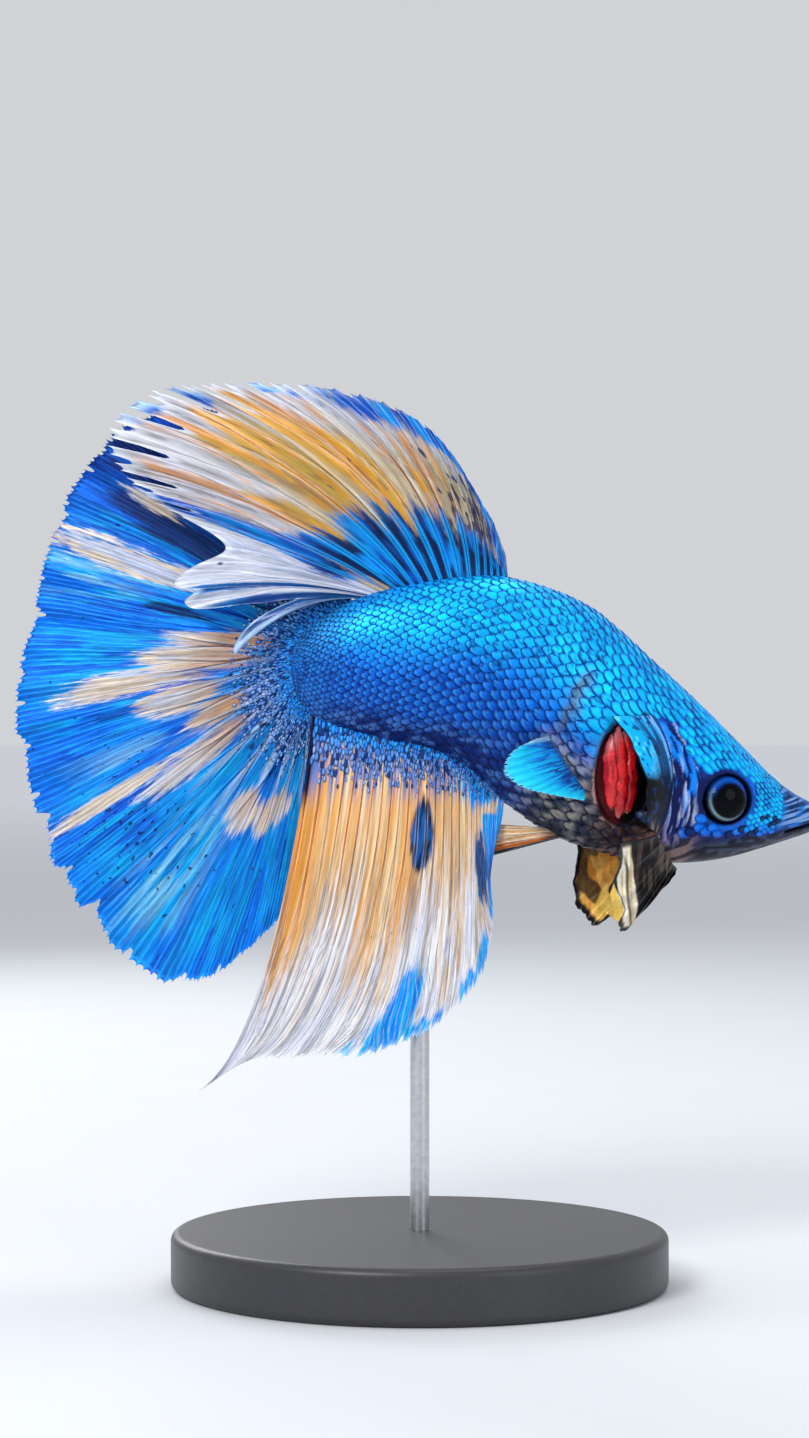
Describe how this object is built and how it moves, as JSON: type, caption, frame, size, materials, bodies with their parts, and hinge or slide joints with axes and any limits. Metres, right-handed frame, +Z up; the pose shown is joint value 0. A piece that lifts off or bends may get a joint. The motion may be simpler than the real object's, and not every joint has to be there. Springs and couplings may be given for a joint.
{
  "type": "halfmoon betta fish model",
  "caption": "Life-size still model of a flaring halfmoon betta fish, fins spread and gill covers open, held over a round base by a thin rod.",
  "frame": {"origin": "centre of the stand base's underside, on the floor", "axes": "+X towards the fish's snout, +Y away from its right flank, +Z up; the right flank faces -Y"},
  "size_m": [0.0607, 0.036, 0.0654],
  "materials": {
    "skin": "moist scaled skin, cyan-blue scales with navy edges, satin gloss",
    "dorsal_fin": "thin rayed membrane, cream and gold streaks with blue at the front",
    "caudal_fin": "thin rayed membrane, blue with pale rays and peach streaks",
    "anal_fin": "thin rayed membrane, orange-peach to white, blue at the lower front",
    "pectoral_fin": "thin rayed membrane, cyan",
    "pelvic_fin": "thin rayed membrane, peach with a darker edge",
    "gill_cover": "smooth skin over bone, cyan with a black rim",
    "gill": "wet crimson gill",
    "beard": "folded membrane, black with orange and cream parts",
    "eye": "clear glossy eye, black pupil, blue iris with a thin pale ring",
    "stand_base": "matt dark disc with a rounded edge",
    "stand_rod": "satin steel"
  },
  "bodies": {
    "root": {"head": "skin", "trunk": "skin", "tail_stem": "skin", "lower_jaw": "skin", "dorsal_fin": "dorsal_fin", "caudal_fin": "caudal_fin", "anal_fin": "anal_fin", "pectoral_fin_right": "pectoral_fin", "pectoral_fin_left": "pectoral_fin", "pelvic_fin_right": "pelvic_fin", "pelvic_fin_left": "pelvic_fin", "gill_cover_right": "gill_cover", "gill_cover_left": "gill_cover", "gill_right": "gill", "gill_left": "gill", "beard_right": "beard", "beard_left": "beard", "eye_right": "eye", "eye_left": "eye", "stand_base": "stand_base", "stand_rod": "stand_rod"}
  },
  "joints": []
}
